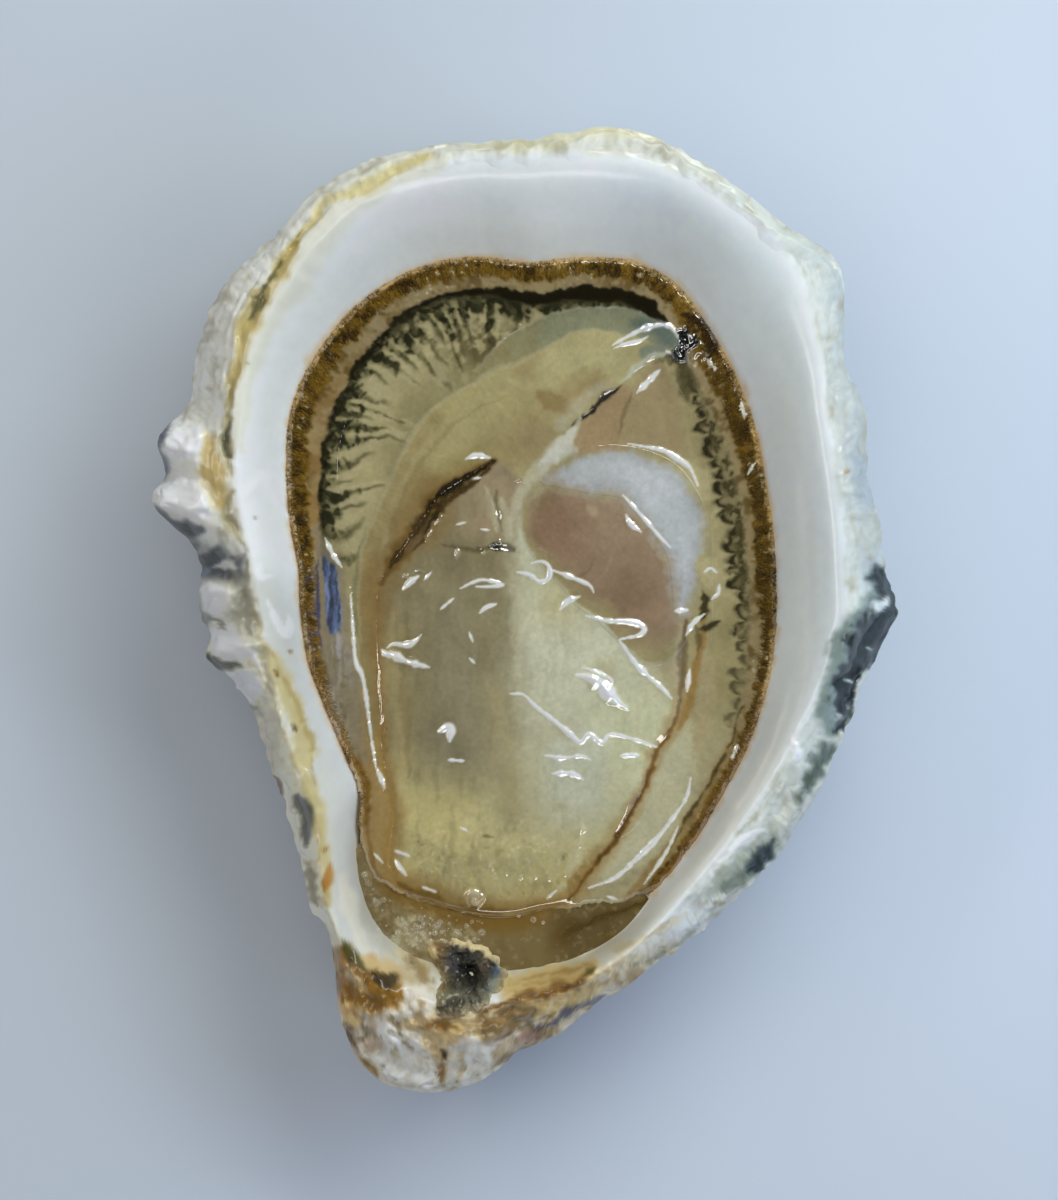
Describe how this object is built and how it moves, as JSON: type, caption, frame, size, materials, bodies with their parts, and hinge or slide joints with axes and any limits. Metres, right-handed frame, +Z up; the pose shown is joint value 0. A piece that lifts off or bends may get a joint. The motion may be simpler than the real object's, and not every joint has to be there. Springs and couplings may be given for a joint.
{
  "type": "oyster on the half shell",
  "caption": "Opened raw oyster lying in its cupped lower shell, with a fringed mantle, gills, plump body, adductor muscle and a little liquor at the hinge end.",
  "frame": {"origin": "Centre of the bounding box's base, on the table plane under the cup.", "axes": "+X to the right with the meat up and the hinge towards the viewer, +Y away from the hinge along the length, +Z up out of the cup."},
  "size_m": [0.0762, 0.0994, 0.026],
  "materials": {
    "shell": "smooth porcelain white inside, rough and chalky at the edge and outside",
    "ligament": "rough, dark, broken",
    "mantle": "wet, cream with a dark brown fringe",
    "gills": "wet, finely ribbed",
    "body": "wet, creamy and partly translucent",
    "muscle_quick": "wet, pinkish brown, translucent",
    "muscle_catch": "wet, opaque white",
    "liquor": "clear liquid with a little froth"
  },
  "bodies": {
    "root": {"shell": "shell", "ligament": "ligament", "mantle": "mantle", "gills": "gills", "body": "body", "muscle_quick": "muscle_quick", "muscle_catch": "muscle_catch", "liquor": "liquor"}
  },
  "joints": []
}
